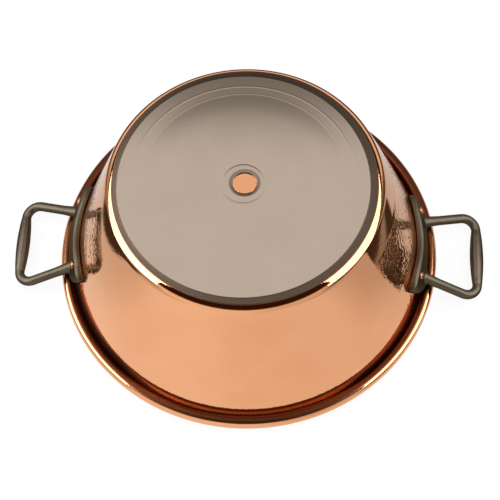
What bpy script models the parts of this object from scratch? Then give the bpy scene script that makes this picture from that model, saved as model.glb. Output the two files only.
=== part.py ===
# Copper jam pan, standing upside down on its rolled rim with its steel-faced bottom up.
# All lengths are in metres. The pan's axis is Z, the handles lie along X, and the rim rests on Z = 0.
import math

import bmesh
import bpy
from mathutils import Matrix, Vector

# Clearance between pieces, what a cutter reaches past the faces it cuts, and where points join
FIT_GAP = 0.0003
CUT_OVERRUN = 0.002
WELD = FIT_GAP / 100

# Copper bowl, outer sizes
RIM_RADIUS = 0.190
BEAD_RADIUS = 0.006
BODY_HEIGHT = 0.1451
BASE_RADIUS = 0.1315
CORNER_RADIUS = 0.0085
SHEET = 0.0015
BOSS_RADIUS = 0.011
BOSS_RISE = 0.0008
BOSS_EDGE = 0.0003

# Steel plate on the bottom
PLATE_MARGIN = 0.0011
PLATE_THICKNESS = 0.0016
PLATE_SIDE = 0.0008
BORDER_WIDTH = 0.0055
LAND_EDGE = 0.0005
LAND_EDGE_DROP = 0.0002
LAND_OFFSET = -0.0012
STEP_INSET = 0.0093
STEP_WIDTH = 0.0030
STEP_DEPTH = 0.00015
HOLE_LIP_WIDTH = 0.0022
HOLE_LIP_DEPTH = 0.0007

# Handle pad, laid out on the wall: along it sideways, up its slope and off its outer face
PAD_HEIGHT = 0.030
PAD_HALF_LENGTH = 0.055
PAD_THICKNESS = 0.007
PAD_WAIST_TOP = 0.0088
PAD_WAIST_FOOT = 0.0117
PAD_LOBE_TOP = 0.0115
PAD_LOBE_FOOT = 0.0175
PAD_TIP_RISE = 0.0052
PAD_TIP_HALF = 0.0012
PAD_ROUND_HEIGHT = 0.0028
PAD_ROUND_THICKNESS_SHARE = 0.7
PAD_BACK_THICKNESS_SHARE = 0.17
PAD_TIP_THICKNESS_SHARE = 0.48
PAD_FOOT_POWER_SHARE = 0.8

# Handle bail; its arms and the rivets keep their distances from the pad's tips
ARM_TIP_REACH = 0.0253
ARM_UP = -0.0090
ARM_RADIUS = 0.0048
ARM_ROOT_RADIUS = 0.0058
ARM_FLARE = 0.010
ARM_SEAT_SHARE = 0.5
BEND_RADIUS = 0.0125
FINGER_ROOM = 0.0335
GRIP_SPREAD = 0.0171
GRIP_RADIUS = 0.0068
GRIP_FULL_POWER_SHARE = 0.7
GRIP_FLOOR_GAP = 0.0005

# Rivets
RIVET_TIP_REACH = 0.0197
RIVET_UP = 0.0043
SHANK_RADIUS = 0.0022
HEAD_RADIUS = 0.0036
HEAD_RISE = 0.0020
TAIL_RADIUS = 0.0042
TAIL_RISE = 0.0012

# Facets
TURN_STEPS = 80
CORNER_STEPS = 4
CURL_QUARTER_STEPS = 3
WIRE_STEPS = 8
PAD_STATIONS = 12
PAD_ROUND_STEPS = 3
ARM_SIDES = 12
BEND_STEPS = 5
GRIP_STEPS = 8
RIVET_STEPS = 16
DOME_STEPS = 3

# What the sizes give
CURL_RADIUS = BEAD_RADIUS - SHEET
WIRE_RADIUS = CURL_RADIUS - FIT_GAP
BEAD_CENTRE = RIM_RADIUS - BEAD_RADIUS
HOLE_RADIUS = BOSS_RADIUS + FIT_GAP
PLATE_BOTTOM = BODY_HEIGHT + FIT_GAP
PLATE_TOP = PLATE_BOTTOM + PLATE_THICKNESS
RIVET_HOLE_RADIUS = SHANK_RADIUS + FIT_GAP
ARM_ALONG = PAD_HALF_LENGTH - ARM_TIP_REACH
RIVET_ALONG = PAD_HALF_LENGTH - RIVET_TIP_REACH
GRIP_HALF_SPAN = ARM_ALONG + GRIP_SPREAD


def wall_lean():
    """Angle of the wall from the vertical: its outer face runs into the inside of the rim's curl."""
    run = BEAD_CENTRE - BASE_RADIUS
    rise = BODY_HEIGHT - BEAD_RADIUS
    return math.atan2(run, rise) - math.asin(CURL_RADIUS / math.hypot(run, rise))


LEAN = wall_lean()
CORNER_CENTRE = BASE_RADIUS + CORNER_RADIUS * math.tan(LEAN) - CORNER_RADIUS / math.cos(LEAN)
PLATE_RADIUS = CORNER_CENTRE - PLATE_MARGIN
LAND_RADIUS = PLATE_RADIUS - BORDER_WIDTH
STEP_RADIUS = LAND_RADIUS - STEP_INSET
PAD_ARC_RADIUS = BASE_RADIUS + (BODY_HEIGHT - PAD_HEIGHT) * math.tan(LEAN)


def on_wall(along, up, off):
    """Point beside the wall's +X side: sideways along it, up its slope and off its outer face."""
    angle = along / PAD_ARC_RADIUS
    radius = PAD_ARC_RADIUS - up * math.sin(LEAN) + off * math.cos(LEAN)
    height = PAD_HEIGHT + up * math.cos(LEAN) + off * math.sin(LEAN)
    return Vector((radius * math.cos(angle), radius * math.sin(angle), height))


def polar(centre, radius, angle):
    """Point of a circle in the profile's plane."""
    return centre[0] + radius * math.cos(angle), centre[1] + radius * math.sin(angle)


def arc(centre, radius, start, end, steps):
    """Points of an arc in the profile's plane, from one angle to another."""
    return [polar(centre, radius, start + (end - start) * step / steps) for step in range(steps + 1)]


def smooth(value):
    """Ease from 0 to 1 as the value goes from 0 to 1."""
    share = min(1, max(0, value))
    return share * share * (3 - 2 * share)


def finish_material(name, colour, metallic, roughness):
    """Principled material of one finish."""
    material = bpy.data.materials.new(name)
    material.use_nodes = True
    shader = material.node_tree.nodes["Principled BSDF"]
    shader.inputs["Base Color"].default_value = (*colour, 1)
    shader.inputs["Metallic"].default_value = metallic
    shader.inputs["Roughness"].default_value = roughness
    return material


def place_mesh(name, bm, material):
    """Object of a finished bmesh, shaded smooth but for its real edges."""
    bmesh.ops.recalc_face_normals(bm, faces=bm.faces)
    mesh = bpy.data.meshes.new(name)
    bm.to_mesh(mesh)
    bm.free()
    mesh.shade_smooth()
    mesh.set_sharp_from_angle(angle=math.radians(35))
    if material:
        mesh.materials.append(material)
    piece = bpy.data.objects.new(name, mesh)
    bpy.context.scene.collection.objects.link(piece)
    return piece


def spun(profile, steps, joined):
    """Mesh of a profile turned about Z; joined closes a profile that stays clear of the axis."""
    bm = bmesh.new()
    verts = [bm.verts.new((radius, 0, height)) for radius, height in profile]
    edges = [bm.edges.new(pair) for pair in zip(verts, verts[1:])]
    if joined:
        edges.append(bm.edges.new((verts[-1], verts[0])))
    bmesh.ops.spin(bm, geom=verts + edges, cent=(0, 0, 0), axis=(0, 0, 1), dvec=(0, 0, 0),
                   angle=math.tau, steps=steps, use_merge=True)
    bmesh.ops.remove_doubles(bm, verts=bm.verts, dist=WELD)
    return bm


def lofted(rings):
    """Mesh of a skin through rings of points, with a flat cap at each end."""
    bm = bmesh.new()
    loops = [[bm.verts.new(point) for point in ring] for ring in rings]
    for loop, following in zip(loops, loops[1:]):
        for index, vert in enumerate(loop):
            after = (index + 1) % len(loop)
            bm.faces.new((vert, loop[after], following[after], following[index]))
    bm.faces.new(loops[0])
    bm.faces.new(loops[-1])
    return bm


def make_helper(piece):
    """A cutter or a shape to be joined: kept out of the model itself."""
    piece.hide_render = True
    piece.display_type = "WIRE"
    return piece


def add_boolean(piece, operand, operation):
    """Exact Boolean with another object."""
    modifier = piece.modifiers.new(operation.title(), "BOOLEAN")
    modifier.object = operand
    modifier.operation = operation
    modifier.solver = "EXACT"


# Pan body

def body_profile():
    """Section of the spun sheet: outside from the axis, round the rim's open curl, and back inside."""
    boss_top = BODY_HEIGHT + BOSS_RISE
    corner = (CORNER_CENTRE, BODY_HEIGHT - CORNER_RADIUS)
    bead = (BEAD_CENTRE, BEAD_RADIUS)
    top, start, bottom, outside = math.radians(90), math.pi + LEAN, math.radians(270), math.tau
    end = math.tau + math.pi + LEAN - math.acos((CURL_RADIUS - FIT_GAP) / BEAD_RADIUS)
    turns = [start, bottom, outside, outside + top, end]

    points = [(0, boss_top), (BOSS_RADIUS - BOSS_EDGE, boss_top), (BOSS_RADIUS, boss_top - BOSS_EDGE)]
    points.append((BOSS_RADIUS, BODY_HEIGHT))
    points += arc(corner, CORNER_RADIUS, top, LEAN, CORNER_STEPS)
    for first, last in zip(turns, turns[1:]):
        points += arc(bead, CURL_RADIUS, first, last, CURL_QUARTER_STEPS)[:-1]
    points += [polar(bead, CURL_RADIUS, end), polar(bead, BEAD_RADIUS, end)]
    for first, last in zip(reversed(turns), reversed(turns[:-1])):
        points += arc(bead, BEAD_RADIUS, first, last, CURL_QUARTER_STEPS)[1:]
    points += arc(corner, CORNER_RADIUS - SHEET, LEAN, top, CORNER_STEPS)
    points.append((0, BODY_HEIGHT - SHEET))
    return points


def make_body(copper):
    return place_mesh("pan_body", spun(body_profile(), TURN_STEPS, joined=False), copper)


def make_rim_wire(wire_steel):
    section = arc((BEAD_CENTRE, BEAD_RADIUS), WIRE_RADIUS, 0, math.tau, WIRE_STEPS)[:-1]
    return place_mesh("rim_wire", spun(section, TURN_STEPS, joined=True), wire_steel)


# Base plate

def make_base_plate(plate_steel):
    """Turned plate with a lipped hole, a sloping border and a flat land that sits a little off centre."""
    section = [
        (HOLE_RADIUS, PLATE_BOTTOM),
        (PLATE_RADIUS, PLATE_BOTTOM),
        (PLATE_RADIUS, PLATE_BOTTOM + PLATE_SIDE),
        (LAND_RADIUS, PLATE_TOP - LAND_EDGE_DROP),
        (LAND_RADIUS - LAND_EDGE, PLATE_TOP),
        (STEP_RADIUS + STEP_WIDTH / 2, PLATE_TOP),
        (STEP_RADIUS, PLATE_TOP - STEP_DEPTH),
        (STEP_RADIUS - STEP_WIDTH / 2, PLATE_TOP),
        (HOLE_RADIUS + HOLE_LIP_WIDTH, PLATE_TOP),
        (HOLE_RADIUS, PLATE_TOP - HOLE_LIP_DEPTH),
    ]
    bm = spun(section, TURN_STEPS, joined=True)
    for vert in bm.verts:
        reach = vert.co.xy.length
        if HOLE_RADIUS + HOLE_LIP_WIDTH + WELD < reach < LAND_RADIUS + WELD:
            vert.co.x += LAND_OFFSET
    return place_mesh("base_plate", bm, plate_steel)


# Handles

def pad_edges(along):
    """Foot and top edge of the pad at a place along the wall."""
    reach = abs(along)
    foot_ease = smooth(2 * reach / ARM_ALONG - 1)
    top_ease = smooth(reach / RIVET_ALONG)
    foot = -PAD_WAIST_FOOT - (PAD_LOBE_FOOT - PAD_WAIST_FOOT) * foot_ease
    top = PAD_WAIST_TOP + (PAD_LOBE_TOP - PAD_WAIST_TOP) * top_ease
    if reach > ARM_ALONG:
        share = (reach - ARM_ALONG) / (PAD_HALF_LENGTH - ARM_ALONG)
        low = PAD_TIP_RISE - PAD_TIP_HALF
        foot = low - (low + PAD_LOBE_FOOT) * max(0, 1 - share ** 2) ** PAD_FOOT_POWER_SHARE
    if reach > RIVET_ALONG:
        share = (reach - RIVET_ALONG) / (PAD_HALF_LENGTH - RIVET_ALONG)
        high = PAD_TIP_RISE + PAD_TIP_HALF
        top = high + (PAD_LOBE_TOP - high) * math.sqrt(max(0, 1 - share ** 2))
    return foot, top


def pad_section(along):
    """Ring round the pad at a place along the wall: deep rounds outside, small bevels at the wall."""
    foot, top = pad_edges(along)
    round_share = min(1, (PAD_HALF_LENGTH - abs(along)) / PAD_THICKNESS)
    thickness_share = PAD_TIP_THICKNESS_SHARE + (1 - PAD_TIP_THICKNESS_SHARE) * math.sqrt(round_share)
    thickness = PAD_THICKNESS * thickness_share
    face = FIT_GAP + thickness
    bevel = thickness * PAD_BACK_THICKNESS_SHARE
    round_off = thickness * PAD_ROUND_THICKNESS_SHARE
    round_up = min(PAD_ROUND_HEIGHT, (top - foot) / 3)
    upper = []
    lower = []
    for step in range(PAD_ROUND_STEPS + 1):
        angle = math.pi / 2 * step / PAD_ROUND_STEPS
        inset, sink = round_up * (1 - math.cos(angle)), round_off * (1 - math.sin(angle))
        upper.append((top - inset, face - sink))
        lower.append((foot + inset, face - sink))
    back = [(foot, FIT_GAP + bevel), (foot + bevel, FIT_GAP), (top - bevel, FIT_GAP), (top, FIT_GAP + bevel)]
    return [on_wall(along, up, off) for up, off in back + upper + lower[::-1]]


def make_pad(name, iron):
    """Casting's foot: a strip bent to the wall, drawn in at its waist and rounded off at its tips."""
    rings = []
    for station in range(-PAD_STATIONS, PAD_STATIONS + 1):
        along = PAD_HALF_LENGTH * math.sin(math.pi / 2 * station / PAD_STATIONS)
        rings.append(pad_section(along))
    return place_mesh(name, lofted(rings), iron)


def bail_path():
    """Points of the bail's centre line with the radius at each, from one root to the other."""
    root = on_wall(ARM_ALONG, ARM_UP, FIT_GAP + PAD_THICKNESS * ARM_SEAT_SHARE)
    grip_reach = RIM_RADIUS + FINGER_ROOM + GRIP_RADIUS
    corner = Vector((grip_reach, GRIP_HALF_SPAN, GRIP_RADIUS + GRIP_FLOOR_GAP))
    arm = (corner - root).normalized()
    grip = Vector((0, -1, 0))
    turn = arm.angle(grip)
    setback = BEND_RADIUS * math.tan(turn / 2)
    bend_start = corner - arm * setback
    inward = (grip - arm * arm.dot(grip)).normalized()

    half = [(root, ARM_ROOT_RADIUS)]
    half.append((root + arm * ARM_FLARE / 2, ARM_ROOT_RADIUS))
    half.append((root + arm * ARM_FLARE * 2, ARM_RADIUS))
    for step in range(BEND_STEPS + 1):
        angle = turn * step / BEND_STEPS
        swing = arm * math.sin(angle) + inward * (1 - math.cos(angle))
        half.append((bend_start + swing * BEND_RADIUS, ARM_RADIUS))
    start = half[-1][0]
    for step in range(1, GRIP_STEPS // 2 + 1):
        share = step / GRIP_STEPS
        bulge = math.sin(math.pi * share) ** GRIP_FULL_POWER_SHARE
        point = start + grip * (2 * start.y * share)
        half.append((point, ARM_RADIUS + (GRIP_RADIUS - ARM_RADIUS) * bulge))
    other = [(Vector((point.x, -point.y, point.z)), radius) for point, radius in reversed(half[:-1])]
    return half + other


def make_bail(name):
    """Casting's bail: two arms that spread from the pad to a grip with a fuller middle."""
    path = bail_path()
    rings = []
    for index, (point, radius) in enumerate(path):
        before = path[max(index - 1, 0)][0]
        after = path[min(index + 1, len(path) - 1)][0]
        turn = (after - before).to_track_quat("Z", "X").to_matrix()
        ring = []
        for side in range(ARM_SIDES):
            angle = math.tau * side / ARM_SIDES
            ring.append(point + turn @ Vector((math.cos(angle), math.sin(angle), 0)) * radius)
        rings.append(ring)
    return place_mesh(name, lofted(rings), None)


def make_handle(side, turn, cutters, iron):
    """One casting: pad and bail joined, drilled for its two rivets."""
    handle = make_pad("handle_" + side, iron)
    bail = make_helper(make_bail("bail_shape_" + side))
    for piece in (handle, bail):
        piece.data.transform(turn)
    add_boolean(handle, bail, "UNION")
    for cutter in cutters:
        add_boolean(handle, cutter, "DIFFERENCE")
    return handle


# Rivets

def rivet_place(along, turn):
    """Seat of a rivet on the wall's outer face, its axis square to the wall."""
    seat = on_wall(along, RIVET_UP, 0)
    axis = (on_wall(along, RIVET_UP, PAD_THICKNESS) - seat).normalized()
    return turn @ Matrix.Translation(seat) @ axis.to_track_quat("Z", "Y").to_matrix().to_4x4()


def rivet_profile():
    """Half section: head over the pad, shank through pad and sheet, low tail inside the pan."""
    head_face = FIT_GAP + PAD_THICKNESS + FIT_GAP
    tail_face = -SHEET - FIT_GAP
    head = []
    tail = []
    for step in range(DOME_STEPS + 1):
        angle = math.pi / 2 * step / DOME_STEPS
        head.append((HEAD_RADIUS * math.sin(angle), head_face + HEAD_RISE * math.cos(angle)))
        tail.append((TAIL_RADIUS * math.cos(angle), tail_face - TAIL_RISE * math.sin(angle)))
    return head + [(SHANK_RADIUS, head_face), (SHANK_RADIUS, tail_face)] + tail


def make_rivet(name, place, copper):
    rivet = place_mesh(name, spun(rivet_profile(), RIVET_STEPS, joined=False), copper)
    rivet.data.transform(place)
    return rivet


def make_rivet_cutter(name, place):
    """Drill for the pad and the wall behind it."""
    low = -SHEET - CUT_OVERRUN
    high = FIT_GAP + PAD_THICKNESS + CUT_OVERRUN
    section = [(0, high), (RIVET_HOLE_RADIUS, high), (RIVET_HOLE_RADIUS, low), (0, low)]
    cutter = place_mesh(name, spun(section, RIVET_STEPS, joined=False), None)
    cutter.data.transform(place)
    return make_helper(cutter)


def build():
    for old in list(bpy.data.objects):
        bpy.data.objects.remove(old)
    copper = finish_material("polished_copper", (0.78, 0.36, 0.18), 1, 0.12)
    rivet_copper = finish_material("rivet_copper", (0.62, 0.25, 0.13), 1, 0.3)
    plate_steel = finish_material("satin_steel", (0.45, 0.36, 0.29), 1, 0.35)
    wire_steel = finish_material("drawn_steel", (0.40, 0.39, 0.37), 1, 0.4)
    iron = finish_material("cast_iron", (0.14, 0.115, 0.085), 1, 0.42)

    body = make_body(copper)
    make_rim_wire(wire_steel)
    make_base_plate(plate_steel)
    for side, angle in (("right", 0), ("left", math.pi)):
        turn = Matrix.Rotation(angle, 4, "Z")
        cutters = []
        for end, along in (("front", -RIVET_ALONG), ("back", RIVET_ALONG)):
            place = rivet_place(along if side == "right" else -along, turn)
            make_rivet("rivet_" + side + "_" + end, place, rivet_copper)
            cutters.append(make_rivet_cutter("drill_" + side + "_" + end, place))
        make_handle(side, turn, cutters, iron)
        for cutter in cutters:
            add_boolean(body, cutter, "DIFFERENCE")


build()
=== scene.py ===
import math

import bpy
from mathutils import Matrix, Vector


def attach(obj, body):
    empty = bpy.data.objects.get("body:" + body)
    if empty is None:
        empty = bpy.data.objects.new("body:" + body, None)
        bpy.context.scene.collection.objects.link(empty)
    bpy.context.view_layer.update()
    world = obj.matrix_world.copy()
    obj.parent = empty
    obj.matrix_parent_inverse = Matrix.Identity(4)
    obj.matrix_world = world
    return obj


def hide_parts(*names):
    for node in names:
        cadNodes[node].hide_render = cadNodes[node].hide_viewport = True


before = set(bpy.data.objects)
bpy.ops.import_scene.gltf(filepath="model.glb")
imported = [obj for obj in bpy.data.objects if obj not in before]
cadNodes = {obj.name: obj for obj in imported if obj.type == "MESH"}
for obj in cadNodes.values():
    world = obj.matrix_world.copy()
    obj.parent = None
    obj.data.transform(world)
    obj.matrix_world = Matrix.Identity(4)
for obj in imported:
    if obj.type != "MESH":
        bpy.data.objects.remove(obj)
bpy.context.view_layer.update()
print("packed pan loaded")

mm = 0.001


# camera

view = {
    "target": (0, 0, 6 * mm),
    "distance": 1520 * mm,
    "azimuth": 5.48,
    "elevation": 62.8,
    "yaw": -0.062,
    "pitch": 0.067,
    "roll": 3.184,
    "lens": 107.75,
    "sensor": 36,
    "near": 50 * mm,  # nearest and farthest that it sees
    "far": 50,
}


def makeCamera():
    turn, rise = math.radians(view["azimuth"]), math.radians(view["elevation"])
    back = Vector((math.sin(turn) * math.cos(rise), -math.cos(turn) * math.cos(rise), math.sin(rise)))
    right = Vector((math.cos(turn), math.sin(turn), 0))
    ahead = -back
    up = right.cross(ahead)
    aim = Matrix.Rotation(math.radians(view["yaw"]), 3, up)
    aim = aim @ Matrix.Rotation(math.radians(view["pitch"]), 3, right)
    ahead, right, up = aim @ ahead, aim @ right, aim @ up
    lean = Matrix.Rotation(math.radians(view["roll"]), 3, ahead)
    right, up = lean @ right, lean @ up

    data = bpy.data.cameras.new("camera")
    data.lens = view["lens"]
    data.sensor_width = view["sensor"]
    data.clip_start = view["near"]
    data.clip_end = view["far"]
    camera = bpy.data.objects.new("camera", data)
    bpy.context.scene.collection.objects.link(camera)
    basis = Matrix((right, up, -ahead)).transposed().to_4x4()
    basis.translation = Vector(view["target"]) + back * view["distance"]
    camera.matrix_world = basis
    bpy.context.scene.camera = camera


makeCamera()
print("camera placed")


# shader nodes

class Wire:  # a node's output that takes part in sums
    def __init__(self, sheet, socket):
        self.sheet = sheet
        self.socket = socket

    def reckon(self, operation, first, second):
        return self.sheet.reckon(operation, first, second)

    def __add__(self, other):
        return self.reckon("ADD", self, other)

    def __sub__(self, other):
        return self.reckon("SUBTRACT", self, other)

    def __rsub__(self, other):
        return self.reckon("SUBTRACT", other, self)

    def __mul__(self, other):
        return self.reckon("MULTIPLY", self, other)

    def __truediv__(self, other):
        return self.reckon("DIVIDE", self, other)

    def __pow__(self, other):
        return self.reckon("POWER", self, other)

    def __abs__(self):
        return self.reckon("ABSOLUTE", self, 0)

    __radd__ = __add__
    __rmul__ = __mul__


class NodeSheet:
    def __init__(self, tree):
        self.tree = tree
        tree.nodes.clear()

    def node(self, kind, settings=None, inputs=None, output=0):
        made = self.tree.nodes.new(kind)
        for name, value in (settings or {}).items():
            setattr(made, name, value)
        for name, value in (inputs or {}).items():
            if isinstance(value, Wire):
                self.tree.links.new(value.socket, made.inputs[name])
            else:
                made.inputs[name].default_value = value
        return Wire(self, made.outputs[output])

    def reckon(self, operation, first, second):
        return self.node("ShaderNodeMath", {"operation": operation}, {0: first, 1: second})

    def blend(self, share, first, second):
        return self.node("ShaderNodeMix", {"data_type": "RGBA"}, {0: share, 6: first, 7: second}, 2)

    def step(self, value, start, end):
        settings = {"interpolation_type": "SMOOTHSTEP"}
        return self.node("ShaderNodeMapRange", settings, {0: value, 1: start, 2: end})

    def split(self, vector):
        return [self.node("ShaderNodeSeparateXYZ", None, {0: vector}, axis) for axis in range(3)]

    def place(self):
        return self.node("ShaderNodeTexCoord", None, None, "Object")

    def stretch(self, vector, factors):
        return self.node("ShaderNodeVectorMath", {"operation": "MULTIPLY"}, {0: vector, 1: factors})

    def join(self, x, y, z):
        return self.node("ShaderNodeCombineXYZ", None, {0: x, 1: y, 2: z})

    def noise(self, vector, scale, detail, roughness=0.5):
        inputs = {"Vector": vector, "Scale": scale, "Detail": detail, "Roughness": roughness}
        return self.node("ShaderNodeTexNoise", None, inputs)

    def bump(self, height, distance, under=None):
        inputs = {"Height": height, "Distance": distance, "Strength": 1}
        if under:
            inputs["Normal"] = under
        return self.node("ShaderNodeBump", None, inputs)

    def band(self, value, start, end, soft):  # 1 between start and end, easing out over soft
        return self.step(value, start - soft, start) * (1 - self.step(value, end, end + soft))

    def turn(self, first, second):  # angle in degrees
        return self.reckon("ARCTAN2", first, second) * (180 / math.pi)

    def lightPath(self, ray):
        return self.node("ShaderNodeLightPath", None, None, ray)


def newMaterial(name):
    material = bpy.data.materials.new(name)
    material.use_nodes = True
    return material, NodeSheet(material.node_tree)


def grey(value):
    return (value, value, value, 1)


def closeMaterial(sheet, shader, output="ShaderNodeOutputMaterial"):
    end = sheet.tree.nodes.new(output)
    sheet.tree.links.new(shader.socket, end.inputs["Surface"])


def metal(sheet, colour, roughness, normal, edge=(1, 1, 1, 1)):  # edge tints the glancing angles
    inputs = {"Base Color": colour, "Metallic": 1, "Roughness": roughness, "Normal": normal,
              "Specular Tint": edge}
    return sheet.node("ShaderNodeBsdfPrincipled", None, inputs)


# copper

creaseShade = {  # painted shade in the crease of the rim, between the wall's foot and the bead
    "colour": (0.3, 0.1, 0.038, 1),
    "deeper": (0.085, 0.024, 0.009, 1),
    "roughness": 0.36,
    "front": (-0.93, -0.72),  # y over the radius, from all front to all side
    "back": (0, 0.3),
    "deep": (180.5 * mm, 184 * mm),  # radii between which it deepens at the front
    "inside": 175.4 * mm,
    "insideSoft": 0.5 * mm,
    "insideFront": 2.8 * mm,  # at the front it starts this much further out
    "insideShift": 1.6 * mm,  # its inner edge lies this far off centre
    "outside": 186 * mm,
    "outsideSoft": 1.8 * mm,
    "outsideSide": 0.9 * mm,  # at the sides it ends this much further in
    "outsideBack": 2.4 * mm,  # at the back it ends this much further out
    "low": (4.3 * mm, 5 * mm),  # heights over the floor between which it sets in
    "wall": (180.5 * mm, 180.9 * mm),  # a cone between the wall's two faces: the inner one gets no painted shade
    "wallSlope": 0.376,
}


def creaseShadeMasks(sheet, x, y, z, reach):  # where the painted shade lies, and where it is darker
    side = sheet.step(y / reach, *creaseShade["front"])
    inner = reach - x / reach * creaseShade["insideShift"] - (1 - side) * creaseShade["insideFront"]
    outer = reach + side * creaseShade["outsideSide"]
    outer = outer - sheet.step(y / reach, *creaseShade["back"]) * creaseShade["outsideBack"]
    mask = sheet.step(inner, creaseShade["inside"] - creaseShade["insideSoft"], creaseShade["inside"])
    mask = mask * (1 - sheet.step(outer, creaseShade["outside"], creaseShade["outside"] + creaseShade["outsideSoft"]))
    mask = mask * sheet.step(z, *creaseShade["low"])
    mask = mask * sheet.step(reach + z * creaseShade["wallSlope"], *creaseShade["wall"])
    return mask, side + (1 - side) * sheet.step(reach, *creaseShade["deep"])


dents = {  # small ones that riveting leaves beside the handles
    "scale": 300,
    "stretch": (1, 1, 0.6),
    "height": 0.5 * mm,
    "right": (108 * mm, 130 * mm),  # distances to the right and left at which they set in
    "left": (134 * mm, 148 * mm),
    "along": (45 * mm, 75 * mm),
    "low": 24 * mm,
    "high": 108 * mm,
    "soft": 9 * mm,
}


def dentBump(sheet, here, x, y, z, under):
    near = sheet.step(x, *dents["right"]) + sheet.step(0 - x, *dents["left"])
    near = near * (1 - sheet.step(abs(y), *dents["along"]))
    near = near * sheet.band(z, dents["low"], dents["high"], dents["soft"])
    depth = sheet.noise(sheet.stretch(here, dents["stretch"]), dents["scale"], 1)
    return sheet.bump(depth * near, dents["height"], under)


copper = {
    "colour": (0.81, 0.385, 0.19, 1),
    "redder": (0.78, 0.35, 0.165, 1),
    "edge": (1, 0.97, 0.91, 1),
    "roughness": 0.028,
    "smear": 0.03,  # roughness that rubbing adds here and there
    "rubScale": 14,
    "rubbed": (0.35, 0.7),
    "linesRound": 20,  # left by turning and polishing: long round the pan, fine up its wall
    "linesUp": 1800,
    "peelScale": 400,
    "peelHeight": 0.035 * mm,
}


def makeCopper():
    material, sheet = newMaterial("polished copper")
    here = sheet.place()
    x, y, z = sheet.split(here)
    reach = (x * x + y * y) ** 0.5
    rubbed = sheet.noise(here, copper["rubScale"], 4)
    around = copper["linesRound"]
    lines = sheet.noise(sheet.join(x * around, y * around, z * copper["linesUp"]), 1, 2)
    # painted shade in the rim's crease, with rougher copper there
    crease, deep = creaseShadeMasks(sheet, x, y, z, reach)
    colour = sheet.blend(sheet.step(rubbed, *copper["rubbed"]), copper["colour"], copper["redder"])
    colour = sheet.blend(crease, colour, sheet.blend(deep, creaseShade["colour"], creaseShade["deeper"]))
    roughness = copper["roughness"] + rubbed * lines * copper["smear"] + crease * creaseShade["roughness"]
    peel = sheet.bump(sheet.noise(here, copper["peelScale"], 1.5), copper["peelHeight"])
    peel = dentBump(sheet, here, x, y, z, peel)
    closeMaterial(sheet, metal(sheet, colour, roughness, peel, copper["edge"]))
    return material


rivetCopper = {
    "colour": (0.7, 0.3, 0.15, 1),
    "dull": (0.34, 0.13, 0.06, 1),
    "roughness": 0.2,
    "stainScale": 320,
    "stained": (0.42, 0.66),
    "stainRoughness": 0.2,
    "peenScale": 700,
    "peenHeight": 0.15 * mm,
}


def makeRivetCopper():
    material, sheet = newMaterial("peened copper")
    here = sheet.place()
    peen = sheet.noise(here, rivetCopper["peenScale"], 1)
    stain = sheet.noise(here, rivetCopper["stainScale"], 4)
    stained = sheet.step(stain, *rivetCopper["stained"])
    colour = sheet.blend(stained, rivetCopper["colour"], rivetCopper["dull"])
    roughness = rivetCopper["roughness"] + stain * rivetCopper["stainRoughness"]
    closeMaterial(sheet, metal(sheet, colour, roughness, sheet.bump(peen, rivetCopper["peenHeight"])))
    return material


# satin steel of the base

steel = {
    "colour": (0.498, 0.402, 0.322, 1),
    "browner": (0.484, 0.389, 0.31, 1),
    "border": (0.108, 0.075, 0.053, 1),
    "roughness": 0.055,
    "borderRoughness": 0.16,
    "cloudScale": 22,
    "cloudy": (0.36, 0.7),
    "ringScale": 2600,  # fine turned grain
    "gritScale": 2200,
    "gritShare": 0.6,
    "grainRoughness": 0.02,
    "grainHeight": 0.005 * mm,
    "land": (118 * mm, 118.7 * mm),  # the bright land ends between these radii
    "landShift": -1.2 * mm,
    "lip": (14 * mm, 15.6 * mm),  # and a ring of painted shade round the hole fades out between these
    "holeShadeShare": 0.6,
}


def makeSteel():
    material, sheet = newMaterial("satin steel")
    here = sheet.place()
    x, y, z = sheet.split(here)
    across = x - steel["landShift"]
    reach = (across * across + y * y) ** 0.5
    middle = (x * x + y * y) ** 0.5
    cloud = sheet.noise(here, steel["cloudScale"], 5, 0.6)
    rings = sheet.noise(sheet.join(reach * steel["ringScale"], 0, 0), 1, 3)
    grit = sheet.noise(here, steel["gritScale"], 2)
    # painted shade in a ring round the hole, added to the border's own dark finish
    lip = 1 - sheet.step(middle, *steel["lip"])
    border = sheet.step(reach, *steel["land"]) + lip * steel["holeShadeShare"]
    colour = sheet.blend(sheet.step(cloud, *steel["cloudy"]), steel["colour"], steel["browner"])
    colour = sheet.blend(border, colour, steel["border"])
    roughness = steel["roughness"] + (rings + cloud) * steel["grainRoughness"]
    roughness = roughness + border * steel["borderRoughness"]
    grain = sheet.bump(rings + grit * steel["gritShare"], steel["grainHeight"])
    closeMaterial(sheet, metal(sheet, colour, roughness, grain))
    return material


wireSteel = {
    "colour": (0.40, 0.39, 0.37, 1),
    "dark": (0.22, 0.2, 0.18, 1),
    "roughness": 0.35,
    "streakRoughness": 0.15,
    "streakHeight": 0.01 * mm,
    "streaksRound": 0.2,  # drawn along the wire
    "streaksUp": 3000,
}


def makeWireSteel():
    material, sheet = newMaterial("drawn steel")
    x, y, z = sheet.split(sheet.place())
    around, up = sheet.turn(y, x) * wireSteel["streaksRound"], z * wireSteel["streaksUp"]
    streaks = sheet.noise(sheet.join(around, up, 0), 1, 3)
    colour = sheet.blend(streaks, wireSteel["colour"], wireSteel["dark"])
    roughness = wireSteel["roughness"] + streaks * wireSteel["streakRoughness"]
    closeMaterial(sheet, metal(sheet, colour, roughness, sheet.bump(streaks, wireSteel["streakHeight"])))
    return material


# cast iron of the handles

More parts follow.
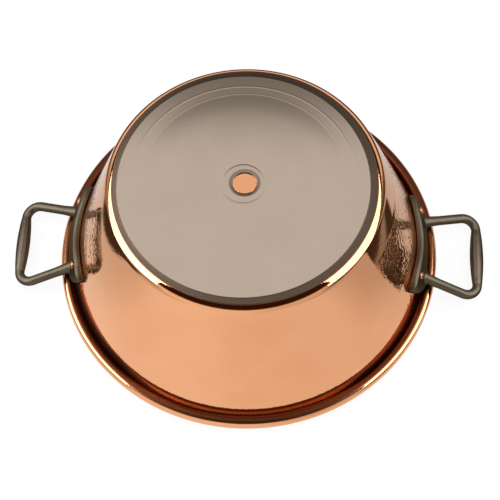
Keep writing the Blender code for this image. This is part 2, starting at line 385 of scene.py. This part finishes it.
iron = {
    "colour": (0.1, 0.081, 0.057, 1),
    "under": (0.02, 0.014, 0.009, 1),  # painted shade on the faces that look down
    "worn": (0.108, 0.088, 0.064, 1),  # rubbed brighter where hands hold it
    "pit": (0.045, 0.036, 0.026, 1),
    "edge": (0.4, 0.34, 0.26, 1),
    "roughness": 0.38,
    "mottleScale": 130,
    "mottleRoughness": 0.14,
    "mottleHeight": 0.12 * mm,
    "rubbed": (0.3, 0.6),  # stretches of the mottle that wear and pits take
    "pitted": (0.55, 0.75),
    "pitShare": 0.5,
    "grainScale": 1300,
    "grainHeight": 0.05 * mm,
    "grip": (205 * mm, 226 * mm),
    "gripShare": 0.6,
    "gripPolish": 0.05,
    "shadedFacing": (-0.05, -0.5),  # how far a face looks down, where the painted shade sets in
}


def makeIron():
    material, sheet = newMaterial("burnished cast iron")
    here = sheet.place()
    x, y, z = sheet.split(here)
    mottle = sheet.noise(here, iron["mottleScale"], 5, 0.6)
    grain = sheet.noise(here, iron["grainScale"], 3)
    held = sheet.step(abs(x), *iron["grip"]) * iron["gripShare"]
    colour = sheet.blend(held * sheet.step(mottle, *iron["rubbed"]), iron["colour"], iron["worn"])
    colour = sheet.blend(sheet.step(mottle, *iron["pitted"]) * iron["pitShare"], colour, iron["pit"])
    # painted shade: the faces that look down are darkened
    facing = sheet.split(sheet.node("ShaderNodeNewGeometry", None, None, "Normal"))[2]
    colour = sheet.blend(sheet.step(facing, *iron["shadedFacing"]), colour, iron["under"])
    roughness = iron["roughness"] + mottle * iron["mottleRoughness"] - held * iron["gripPolish"]
    bumps = sheet.bump(grain, iron["grainHeight"])
    bumps = sheet.bump(mottle, iron["mottleHeight"], bumps)
    closeMaterial(sheet, metal(sheet, colour, roughness, bumps, iron["edge"]))
    return material


copperFinish = makeCopper()
rivetFinish = makeRivetCopper()
steelFinish = makeSteel()
wireFinish = makeWireSteel()
ironFinish = makeIron()


def dress(node, material):
    slots = cadNodes[node].material_slots
    for slot in slots:
        slot.link = "OBJECT"
        slot.material = material
    if not slots:
        cadNodes[node].data.materials.append(material)


for node in cadNodes:
    if node.startswith("rivet"):
        dress(node, rivetFinish)
    elif node.startswith("handle"):
        dress(node, ironFinish)
dress("pan_body", copperFinish)
dress("base_plate", steelFinish)
dress("rim_wire", wireFinish)
print("finishes made")


# turned pieces

weld = 0.002 * mm  # points nearer than this are one


def deselectAll():
    if bpy.context.mode != "OBJECT":
        bpy.ops.object.mode_set(mode="OBJECT")
    for thing in bpy.context.selected_objects:
        thing.select_set(False)


def drawSection(name, points):  # a chain of points in the XZ plane, extruded from the first
    deselectAll()
    bpy.ops.mesh.primitive_plane_add(size=mm, location=(points[0][0], 0, points[0][1]))
    piece = bpy.context.object
    piece.name = name
    piece.data.name = name
    bpy.ops.object.transform_apply(location=True, rotation=True, scale=True)
    bpy.ops.object.mode_set(mode="EDIT")
    bpy.ops.mesh.select_all(action="SELECT")
    bpy.ops.mesh.merge(type="CENTER")
    for before, after in zip(points, points[1:]):
        move = (after[0] - before[0], 0, after[1] - before[1])
        bpy.ops.mesh.extrude_region_move(TRANSFORM_OT_translate={"value": move})
    return piece


def closeMesh():  # merges doubles and turns the faces outwards
    bpy.ops.mesh.select_all(action="SELECT")
    bpy.ops.mesh.remove_doubles(threshold=weld)
    bpy.ops.mesh.normals_make_consistent(inside=False)
    bpy.ops.object.mode_set(mode="OBJECT")


def turnSection(piece, steps, sharp=35):  # spins the section about the axis
    bpy.ops.mesh.select_all(action="SELECT")
    bpy.ops.mesh.spin(steps=steps, angle=math.tau, center=(0, 0, 0), axis=(0, 0, 1))
    closeMesh()
    bpy.ops.object.shade_smooth_by_angle(angle=math.radians(sharp))
    return piece


def arc(centre, radius, start, end, steps):
    points = []
    for step in range(steps + 1):
        angle = start + (end - start) * step / steps
        points.append((centre[0] + radius * math.cos(angle), centre[1] + radius * math.sin(angle)))
    return points


# bowl

bowl = {
    "rimRadius": 190 * mm,
    "beadRadius": 6 * mm,
    "height": 145.1 * mm,
    "baseRadius": 130 * mm,
    "cornerRadius": 10 * mm,
    "sheet": 1.5 * mm,
    "seam": 0.3 * mm,
    "bossRadius": 11 * mm,
    "bossRise": 0.8 * mm,
    "bossEdge": 0.3 * mm,
    "holdOff": 0.4 * mm,  # rings beside an edge keep the flat face flat
    "wallRings": (0.008, 0.25, 0.5, 0.75, 0.97, 0.992),  # and these keep the wall straight
    "bossSteps": 4,
    "cornerSteps": (18, 10),  # outer and inner face
    "beadSteps": (28, 60),
    "steps": 256,
}


def bowlSection():
    height, thick, beadRadius = bowl["height"], bowl["sheet"], bowl["beadRadius"]
    curlRadius = beadRadius - thick
    bead = (bowl["rimRadius"] - beadRadius, beadRadius)
    run, rise = bead[0] - bowl["baseRadius"], height - beadRadius
    lean = math.atan2(run, rise) - math.asin(curlRadius / math.hypot(run, rise))
    bend = bowl["cornerRadius"]
    corner = (bowl["baseRadius"] + bend * math.tan(lean) - bend / math.cos(lean), height - bend)
    top = math.radians(90)
    first = math.pi + lean
    last = math.tau + first - math.acos((curlRadius - bowl["seam"]) / beadRadius)
    boss, edge = (0, height + bowl["bossRise"]), bowl["bossEdge"]
    wallTop = (corner[0] + bend * math.cos(lean), corner[1] + bend * math.sin(lean))
    wallFoot = (bead[0] - curlRadius * math.cos(lean), bead[1] - curlRadius * math.sin(lean))
    points = [boss, (bowl["bossRadius"] - edge - bowl["holdOff"], boss[1])]
    points += arc((bowl["bossRadius"] - edge, boss[1] - edge), edge, top, 0, bowl["bossSteps"])
    points.append((bowl["bossRadius"], height))
    points.append((corner[0] - bowl["holdOff"], height))
    points += arc(corner, bend, top, lean, bowl["cornerSteps"][0])
    for share in bowl["wallRings"]:
        points.append([start + (end - start) * share for start, end in zip(wallTop, wallFoot)])
    points += arc(bead, curlRadius, first, last, bowl["beadSteps"][0])
    points += arc(bead, beadRadius, last, first, bowl["beadSteps"][1])
    points += arc(corner, bend - thick, lean, top, bowl["cornerSteps"][1])
    points.append((0, height - thick))
    return points


def makeBowl():
    piece = turnSection(drawSection("copperBowl", bowlSection()), bowl["steps"])
    piece.data.materials.append(copperFinish)
    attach(piece, "root")
    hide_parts("pan_body")


makeBowl()
print("bowl turned")


# base plate

plate = {
    "holeRadius": 11.3 * mm,
    "lipWidth": 3.4 * mm,
    "lipDepth": 0.16 * mm,
    "lipRings": (0.8, 0.6, 0.4, 0.2, 0),
    "lipPower": 1.5,
    "radius": 125.2 * mm,
    "bottom": 145 * mm,
    "top": 147 * mm,
    "ringHeight": 146.5 * mm,
    "sideRound": 0.35 * mm,
    "landRadius": 118.83 * mm,
    "landFoot": 0.02 * mm,
    "landEdge": 0.105 * mm,  # its rounded edge, and how far in that starts
    "landRound": 0.15 * mm,
    "landShift": -1.2 * mm,
    "landInside": 16 * mm,
    "edgeSteps": 6,
    "edgeStart": 10,
    "sideEnd": 88,
    "hold": 0.5 * mm,  # rings beside an edge keep the flat face flat
    "dish": 0.075 * mm,  # the outer part of the land lies this much lower
    "dishInside": 74 * mm,
    "dishOutside": 97 * mm,
    "dishRings": (1, 0.9, 0.75, 0.6, 0.45, 0.3, 0.15, 0),
    "turnedLines": (  # radius, half the width, rise
        (107 * mm, 1.3 * mm, 0.018 * mm),
        (98.5 * mm, 0.9 * mm, 0.008 * mm),
        (20.5 * mm, 1.9 * mm, -0.06 * mm),
    ),
    "lineForm": ((1, 0), (0.8, 0.03), (0.4, 0.6), (0, 1), (-0.4, 0.6), (-0.8, 0.03), (-1, 0)),
    "sharp": 50,
    "steps": 256,
}


def plateTop(reach):
    share = (reach - plate["dishInside"]) / (plate["dishOutside"] - plate["dishInside"])
    return plate["top"] - plate["dish"] * min(1, max(0, share)) ** 2


def plateSection():
    top, hole, lip, hold = plate["top"], plate["holeRadius"], plate["lipWidth"], plate["hold"]
    land, ring, side = plate["landRadius"], plate["ringHeight"], plate["sideRound"]
    steps, upright = plate["edgeSteps"], math.radians(90)
    points = [(hole, plate["bottom"]), (plate["radius"], plate["bottom"])]
    points += arc((plate["radius"] - side, ring - side), side, 0, math.radians(plate["sideEnd"]), steps)
    points += [(plate["radius"] - side - hold, ring), (land + hold, ring), (land, ring + plate["landFoot"])]
    outside, edge = plateTop(land), plate["landEdge"]
    inside = land - plate["landRound"]
    points += arc((inside, outside - edge), edge, math.radians(plate["edgeStart"]), upright, steps)
    points.append((inside - hold, outside))
    for reach, width, rise in plate["turnedLines"]:
        if reach < plate["dishInside"]:  # the dished part lies before the last line
            for share in plate["dishRings"]:
                place = plate["dishInside"] + (plate["dishOutside"] - plate["dishInside"]) * share
                points.append((place, plateTop(place)))
        for share, lift in plate["lineForm"]:
            place = reach + width * share
            points.append((place, plateTop(place) + rise * lift))
    points += [(hole + lip + hold, top), (hole + lip, top)]
    for share in plate["lipRings"]:
        points.append((hole + lip * share, top - plate["lipDepth"] * (1 - share) ** plate["lipPower"]))
    points.append(points[0])
    return points


def selectWhere(piece, test):
    bpy.ops.object.mode_set(mode="EDIT")
    bpy.ops.mesh.select_mode(type="VERT")
    bpy.ops.mesh.select_all(action="DESELECT")
    bpy.ops.object.mode_set(mode="OBJECT")
    for vertex in piece.data.vertices:
        vertex.select = test(vertex.co)
    bpy.ops.object.mode_set(mode="EDIT")


def makePlate():
    piece = turnSection(drawSection("steelPlate", plateSection()), plate["steps"], plate["sharp"])
    inside, outside = plate["landInside"], plate["landRadius"] + plate["hold"] * 1.5
    selectWhere(piece, lambda place: inside < place.xy.length < outside)  # the land sits off centre
    bpy.ops.transform.translate(value=(plate["landShift"], 0, 0))
    bpy.ops.object.mode_set(mode="OBJECT")
    piece.data.materials.append(steelFinish)
    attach(piece, "root")
    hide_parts("base_plate")


makePlate()
print("base plate turned")


# handles

handle = {
    "height": 30 * mm,
    "halfLength": 55 * mm,
    "thickness": 7.3 * mm,
    "waistTop": 8.8 * mm,
    "waistFoot": 11.7 * mm,
    "lobeTop": 11.5 * mm,
    "lobeFoot": 17.5 * mm,
    "lobePower": 0.8,
    "tipRise": 5.2 * mm,
    "tipHalf": 1.2 * mm,
    "tipThickness": 0.48,
    "roundHeight": 2.6 * mm,
    "roundShare": 0.7,
    "roundSteps": 8,
    "backShare": 0.17,
    "stations": 30,
    "armAlong": 29.7 * mm,
    "armUp": -9 * mm,
    "armSeat": 3.8 * mm,
    "armSunk": 1.5 * mm,
    "armRadius": 4.8 * mm,
    "rootRadius": 5.8 * mm,
    "flare": 20 * mm,
    "flareSteps": 8,
    "bendRadius": 12.5 * mm,
    "bendSteps": 12,
    "gripReach": 230.3 * mm,
    "gripHalf": 46.8 * mm,
    "gripRadius": 6.8 * mm,
    "gripHeight": 7.3 * mm,
    "gripPower": 0.85,
    "gripSteps": 24,
    "rivetAlong": 35.3 * mm,
    "sink": 0.1 * mm,  # the pad's back lies this far in the wall's face
    "lift": 100 * mm,  # the flat pad is drawn this far above its place
    "station": 0.01 * mm,  # points this near to a section's place are part of it
    "grain": 0.55 * mm,  # mesh that blends the casting's corners
    "soften": 10,
}

wallRun = bowl["rimRadius"] - bowl["beadRadius"] - bowl["baseRadius"]
wallRise = bowl["height"] - bowl["beadRadius"]
wallLean = math.atan2(wallRun, wallRise)
wallLean -= math.asin((bowl["beadRadius"] - bowl["sheet"]) / math.hypot(wallRun, wallRise))
padReach = bowl["baseRadius"] + (bowl["height"] - handle["height"]) * math.tan(wallLean)


def ease(value):
    share = min(1, max(0, value))
    return share * share * (3 - 2 * share)


def padEdges(along):  # foot and top edge of the pad
    reach = abs(along)
    armAlong, rivetAlong, halfLength = handle["armAlong"], handle["rivetAlong"], handle["halfLength"]
    foot = -handle["waistFoot"]
    foot -= (handle["lobeFoot"] - handle["waistFoot"]) * ease(2 * reach / armAlong - 1)
    top = handle["waistTop"] + (handle["lobeTop"] - handle["waistTop"]) * ease(reach / rivetAlong)
    if reach > armAlong:
        share = (reach - armAlong) / (halfLength - armAlong)
        low = handle["tipRise"] - handle["tipHalf"]
        foot = low - (low + handle["lobeFoot"]) * max(0, 1 - share ** 2) ** handle["lobePower"]
    if reach > rivetAlong:
        share = (reach - rivetAlong) / (halfLength - rivetAlong)
        high = handle["tipRise"] + handle["tipHalf"]
        top = high + (handle["lobeTop"] - high) * math.sqrt(max(0, 1 - share ** 2))
    return foot, top


def padDepth(along):
    tip = handle["tipThickness"]
    return tip + (1 - tip) * math.sqrt(min(1, (handle["halfLength"] - abs(along)) / handle["thickness"]))


def padOutline():  # section at the middle: off the wall along X, up the wall along Z
    depth, foot, top = handle["thickness"], -handle["waistFoot"], handle["waistTop"]
    back, away, rise = depth * handle["backShare"], depth * handle["roundShare"], handle["roundHeight"]
    steps = handle["roundSteps"]
    upper, lower = [], []
    for step in range(steps + 1):
        angle = math.pi / 2 * step / steps
        inset, sink = rise * (1 - math.cos(angle)), away * (1 - math.sin(angle))
        upper.append((depth - sink, top - inset))
        lower.append((depth - sink, foot + inset))
    return [(back, foot), (0, foot + back), (0, top - back), (back, top)] + upper + lower[::-1]


def makePad():  # drawn flat, leaned on the wall and bent round it
    outline = padOutline()
    piece = drawSection("ironHandleRight", outline)
    bpy.ops.mesh.select_all(action="SELECT")
    bpy.ops.mesh.edge_face_add()
    stations = handle["stations"]
    places = [handle["halfLength"] * math.sin(math.pi / 2 * station / stations)
              for station in range(-stations, stations + 1)]
    before, footBefore, topBefore, depthBefore = 0, outline[0][1], outline[3][1], 1
    for number, along in enumerate(places):
        foot, top = padEdges(along)
        depth = padDepth(along)
        if number:
            bpy.ops.mesh.extrude_region_move(TRANSFORM_OT_translate={"value": (0, along - before, 0)})
        else:
            bpy.ops.transform.translate(value=(0, along, 0))
        tall = (top - foot) / (topBefore - footBefore)
        bpy.ops.transform.resize(value=(depth / depthBefore, 1, tall), center_override=(0, along, 0))
        bpy.ops.transform.translate(value=(0, 0, foot - footBefore * tall))
        before, footBefore, topBefore, depthBefore = along, foot, top, depth
    bpy.ops.object.mode_set(mode="OBJECT")
    lift = handle["lift"]
    piece.rotation_euler = (0, -wallLean, 0)
    piece.location = (padReach - handle["sink"], 0, handle["height"] + lift)
    bpy.ops.object.transform_apply(location=True, rotation=True, scale=True)
    for along in places:
        selectWhere(piece, lambda place: abs(place.y - along) < handle["station"] and place.z > lift)
        bpy.ops.transform.translate(value=(0, -along, -lift))
        bpy.ops.transform.rotate(value=-along / padReach, orient_axis="Z", center_override=(0, 0, 0))
        bpy.ops.object.mode_set(mode="OBJECT")
    return piece


def onWall(along, up, off):
    angle = along / padReach
    reach = padReach - up * math.sin(wallLean) + off * math.cos(wallLean)
    height = handle["height"] + up * math.cos(wallLean) + off * math.sin(wallLean)
    return Vector((reach * math.cos(angle), reach * math.sin(angle), height))


def bailPath():  # the bail's centre line, with the radius at each point
    root = onWall(handle["armAlong"], handle["armUp"], handle["armSeat"])
    corner = Vector((handle["gripReach"], handle["gripHalf"], handle["gripHeight"]))
    arm, grip = (corner - root).normalized(), Vector((0, -1, 0))
    turn = arm.angle(grip)
    bendStart = corner - arm * handle["bendRadius"] * math.tan(turn / 2)
    inward = (grip - arm * arm.dot(grip)).normalized()
    thin, thick = handle["armRadius"], handle["rootRadius"]
    flareSteps, bendSteps, gripSteps = handle["flareSteps"], handle["bendSteps"], handle["gripSteps"]
    path = [(root - arm * handle["armSunk"], thick)]
    for step in range(flareSteps + 1):
        share = step / flareSteps
        path.append((root + arm * handle["flare"] * share, thick + (thin - thick) * ease(share)))
    for step in range(bendSteps + 1):
        angle = turn * step / bendSteps
        swing = arm * math.sin(angle) + inward * (1 - math.cos(angle))
        path.append((bendStart + swing * handle["bendRadius"], thin))
    start = path[-1][0]
    for step in range(1, gripSteps // 2 + 1):
        share = step / gripSteps
        bulge = math.sin(math.pi * share) ** handle["gripPower"]
        path.append((start + grip * (2 * start.y * share), thin + (handle["gripRadius"] - thin) * bulge))
    return path + [(Vector((place.x, -place.y, place.z)), radius) for place, radius in reversed(path[:-1])]


def makeBail():
    deselectAll()
    path = bailPath()
    curve = bpy.data.curves.new("ironBail", "CURVE")
    curve.dimensions = "3D"
    curve.bevel_depth = 1
    curve.bevel_resolution = 8
    curve.use_fill_caps = True
    spline = curve.splines.new("POLY")
    spline.points.add(len(path) - 1)
    for point, (place, radius) in zip(spline.points, path):
        point.co = (*place, 1)
        point.radius = radius
    piece = bpy.data.objects.new("ironBail", curve)
    bpy.context.scene.collection.objects.link(piece)
    piece.select_set(True)
    bpy.context.view_layer.objects.active = piece
    bpy.ops.object.convert(target="MESH")
    bpy.ops.object.mode_set(mode="EDIT")
    closeMesh()
    return bpy.context.object


def applyModifier(piece, kind, settings):
    bpy.context.view_layer.objects.active = piece
    modifier = piece.modifiers.new(kind.lower(), kind)
    for name, value in settings.items():
        setattr(modifier, name, value)
    bpy.ops.object.modifier_apply(modifier=modifier.name)


def makeHandles():
    piece = makePad()
    deselectAll()
    piece.select_set(True)
    bpy.context.view_layer.objects.active = piece
    bpy.ops.object.mode_set(mode="EDIT")
    closeMesh()
    bail = makeBail()
    deselectAll()
    piece.select_set(True)
    applyModifier(piece, "BOOLEAN", {"operation": "UNION", "solver": "EXACT", "object": bail})
    bpy.data.objects.remove(bail)
    applyModifier(piece, "REMESH", {"mode": "VOXEL", "voxel_size": handle["grain"]})
    applyModifier(piece, "SMOOTH", {"factor": 0.5, "iterations": handle["soften"]})
    bpy.ops.object.shade_smooth()
    piece.data.materials.clear()
    piece.data.materials.append(ironFinish)
    bpy.ops.object.duplicate()
    other = bpy.context.object
    other.name = "ironHandleLeft"
    other.data.name = "ironHandleLeft"
    other.rotation_euler = (0, 0, math.pi)
    bpy.ops.object.transform_apply(location=True, rotation=True, scale=True)
    for casting, side in ((piece, "right"), (other, "left")):
        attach(casting, "root")
        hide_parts("handle_" + side)


makeHandles()
print("handles cast")


# rivets

rivet = {
    "along": handle["rivetAlong"],
    "up": 4.3 * mm,
    "shank": 2.2 * mm,
    "headFace": 7.2 * mm,
    "headRadius": 3.6 * mm,
    "headEdge": 0.5 * mm,
    "headTop": 9.6 * mm,
    "headSteps": 8,
    "tailFace": -1.5 * mm,
    "tailRadius": 4.2 * mm,
    "tailTop": -3 * mm,
    "tailSteps": 6,
    "steps": 48,
}


def rivetSection():
    points = []
    headSteps, tailSteps = rivet["headSteps"], rivet["tailSteps"]
    edge = rivet["headFace"] + rivet["headEdge"]
    rise, fall = rivet["headTop"] - edge, rivet["tailTop"] - rivet["tailFace"]
    for step in range(headSteps + 1):
        angle = math.pi / 2 * step / headSteps
        points.append((rivet["headRadius"] * math.sin(angle), edge + rise * math.cos(angle)))
    points += [(rivet["headRadius"], rivet["headFace"]), (rivet["shank"], rivet["headFace"])]
    points += [(rivet["shank"], rivet["tailFace"]), (rivet["tailRadius"], rivet["tailFace"])]
    for step in range(1, tailSteps + 1):
        angle = math.pi / 2 * step / tailSteps
        points.append((rivet["tailRadius"] * math.cos(angle), rivet["tailFace"] + fall * math.sin(angle)))
    return points


def makeRivets():
    first = turnSection(drawSection("copperRivet", rivetSection()), rivet["steps"])
    first.data.materials.append(rivetFinish)
    for side, turn in (("right", 0), ("left", math.pi)):
        for end, way in (("front", -1), ("back", 1)):
            along = rivet["along"] * (way if side == "right" else -way)
            seat = onWall(along, rivet["up"], 0)
            axis = (onWall(along, rivet["up"], rivet["headTop"]) - seat).normalized()
            deselectAll()
            first.select_set(True)
            bpy.context.view_layer.objects.active = first
            bpy.ops.object.duplicate()
            piece = bpy.context.object
            piece.name = "copperRivet" + side.title() + end.title()
            piece.data.name = piece.name
            stand = Matrix.Translation(seat) @ axis.to_track_quat("Z", "Y").to_matrix().to_4x4()
            piece.matrix_world = Matrix.Rotation(turn, 4, "Z") @ stand
            bpy.ops.object.transform_apply(location=True, rotation=True, scale=True)
            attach(piece, "root")
            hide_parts("rivet_" + side + "_" + end)
    bpy.data.objects.remove(first)


makeRivets()
print("rivets set")


# floor

floor = {
    "size": 6,
    "shade": 0.8,
    "seen": 0.93,  # share of plain white that the camera sees
    "soft": 3 * mm,
    "frontLeft": (1.07, 1.1, 1.16, 1),  # what the metal mirrors of the paper
    "frontRight": (0.95, 0.95, 1, 1),
    "across": (-220 * mm, 220 * mm),
    "sideLeft": grey(0.74),
    "sideRight": grey(0.64),
    "sideReach": (120 * mm, 260 * mm),
    "sideSlant": 0.5,
    "dim": (0.06, 0.045, 0.03, 1),  # in place of the paper beside the handles
    "rightReach": 216 * mm,
    "rightSlant": 0.15,
    "rightStep": 25 * mm,
    "rightTurn": 15 * mm,
    "rightNear": -50 * mm,
    "rightFar": 80 * mm,
    "streak": (275 * mm, 285 * mm),
    "streakShare": 0.45,
    "leftReach": 261 * mm,
    "leftSlant": 0.39,
    "leftEnds": (-0.42, 0.2),  # y over the distance from the middle
    "leftSoft": 0.15,
    "behind": (0.1, 0.045, 0.025, 1),  # past the paper's far edge
    "behindReach": 215 * mm,
}


def rightPatch(sheet, x, y):
    soft, reach, turn = floor["soft"], floor["rightReach"], floor["rightTurn"]
    edge = x - sheet.step(y, turn - 2 * soft, turn + 2 * soft) * floor["rightStep"]
    patch = sheet.step(edge, reach - soft, reach + soft)
    nearEdge = y + (x - reach) * floor["rightSlant"]
    patch = patch * sheet.step(nearEdge, floor["rightNear"] - soft, floor["rightNear"] + soft)
    patch = patch * (1 - sheet.step(y, floor["rightFar"], floor["rightFar"] + 5 * soft))
    return patch * (1 - sheet.band(x, *floor["streak"], 3 * soft) * floor["streakShare"])


def leftPatch(sheet, x, y):
    soft, reach = floor["soft"], floor["leftReach"]
    patch = sheet.step(0 - x + y * floor["leftSlant"], reach - soft, reach + soft)
    return patch * sheet.band(y / (abs(x) + 1 * mm), *floor["leftEnds"], floor["leftSoft"])


def makeFloor():
    deselectAll()
    bpy.ops.mesh.primitive_plane_add(size=floor["size"], location=(0, 0, 0))
    piece = bpy.context.object
    piece.name = "paperFloor"
    material, sheet = newMaterial("white paper")
    x, y, z = sheet.split(sheet.place())
    across = sheet.step(x, *floor["across"])
    front = sheet.blend(across, floor["frontLeft"], floor["frontRight"])
    side = sheet.blend(across, floor["sideLeft"], floor["sideRight"])
    paper = sheet.blend(sheet.step(abs(x) + y * floor["sideSlant"], *floor["sideReach"]), front, side)
    mirrored = sheet.blend(rightPatch(sheet, x, y) + leftPatch(sheet, x, y), paper, floor["dim"])
    behind = sheet.step(y, floor["behindReach"], floor["behindReach"] + 10 * floor["soft"])
    mirrored = sheet.blend(behind, mirrored, floor["behind"])
    eye, glossy = sheet.lightPath("Is Camera Ray"), sheet.lightPath("Is Glossy Ray")
    plain = sheet.node("ShaderNodeBsdfDiffuse", None, {"Color": grey(floor["shade"])})
    shown = sheet.blend(glossy, grey(1), mirrored)
    glow = sheet.node("ShaderNodeEmission", None, {"Color": shown, "Strength": 1})
    share = eye * floor["seen"] + glossy
    closeMaterial(sheet, sheet.node("ShaderNodeMixShader", None, {0: share, 1: plain, 2: glow}))
    piece.data.materials.append(material)


makeFloor()
print("floor laid")


# studio

studio = {
    "stripLow": (1.12, -0.36, 0.39),  # middle of the strip's lower end, on the right
    "stripHigh": (0.4, 0.64, 1.6),
    "stripWide": 0.9,
    "stripAcross": (0.28, 0.82, -0.5),
    "leftRadiance": 4.8,
    "rightRadiance": 4.2,
    "dark": (0.034, 0.013, 0.006, 1),  # the room takes its colour from the copper
    "left": grey(0.45),
    "right": grey(0.15),
    "middleSoft": (-0.1, 0.1),
    "front": grey(1.05),
    "frontRight": grey(0.8),
    "frontAcross": (-0.1, 0.55),
    "frontTop": (0.5, 0.7),  # heights on a sphere of radius 1, as are the next numbers
    "back": grey(1),
    "backTop": (0.36, 0.46),
    "sides": (0.72, 0.86),
    "glow": grey(1),  # overhead card that the flat base mirrors
    "glowNear": (107, 112),  # degrees up from the front, past the zenith
    "glowDim": (121, 123.4),
    "glowDimShare": 0.7,
    "glowFar": (123.4, 128),
    "glowEnds": (0.2, 0.4),
    "glowRight": (0, 0.12),
    "glowRightShare": 0.09,
}


def makeStrip(name, side, radiance):  # a long softbox that leans over the pan from its side
    low, high = Vector(studio["stripLow"]), Vector(studio["stripHigh"])
    across = Vector(studio["stripAcross"])
    low.x, high.x, across.x = low.x * side, high.x * side, across.x * side
    rise = high - low
    data = bpy.data.lights.new(name, "AREA")
    data.shape = "RECTANGLE"
    data.size, data.size_y = studio["stripWide"], rise.length
    data.energy = radiance * math.pi * studio["stripWide"] * rise.length
    lamp = bpy.data.objects.new(name, data)
    bpy.context.scene.collection.objects.link(lamp)
    up = rise.normalized()
    across = (across - up * across.dot(up)).normalized() * side
    basis = Matrix((across, up, across.cross(up))).transposed().to_4x4()
    basis.translation = (low + high) / 2
    lamp.matrix_world = basis
    lamp.visible_camera = False


def makeWorld():
    world = bpy.data.worlds.new("studio")
    bpy.context.scene.world = world
    world.use_nodes = True
    sheet = NodeSheet(world.node_tree)
    x, y, z = sheet.split(sheet.node("ShaderNodeTexCoord", None, None, "Generated"))
    ahead = 1 - sheet.step(y, *studio["middleSoft"])
    front = ahead * (1 - sheet.step(z, *studio["frontTop"]))
    back = (1 - ahead) * (1 - sheet.step(z, *studio["backTop"]))
    frontShade = sheet.blend(sheet.step(x, *studio["frontAcross"]), studio["front"], studio["frontRight"])
    shade = sheet.blend(front, studio["dark"], frontShade)
    shade = sheet.blend(back, shade, studio["back"])
    beside = sheet.blend(sheet.step(x, *studio["middleSoft"]), studio["left"], studio["right"])
    shade = sheet.blend(sheet.step(abs(x), *studio["sides"]) * (front + back), shade, beside)
    turn = sheet.turn(z, y * -1)
    glow = sheet.step(turn, *studio["glowNear"]) * (1 - sheet.step(turn, *studio["glowFar"]))
    glow = glow * (1 - sheet.step(turn, *studio["glowDim"]) * studio["glowDimShare"])
    glow = glow * (1 - sheet.step(abs(x), *studio["glowEnds"]))
    glow = glow * (1 - sheet.step(x, *studio["glowRight"]) * studio["glowRightShare"])
    shade = sheet.blend(glow, shade, studio["glow"])
    shown = sheet.blend(sheet.lightPath("Is Camera Ray"), shade, grey(1))
    sky = sheet.node("ShaderNodeBackground", None, {"Color": shown, "Strength": 1})
    closeMaterial(sheet, sky, "ShaderNodeOutputWorld")


makeStrip("stripLeft", -1, studio["leftRadiance"])
makeStrip("stripRight", 1, studio["rightRadiance"])
makeWorld()
bpy.context.scene.view_settings.view_transform = "Standard"
print("studio lit")
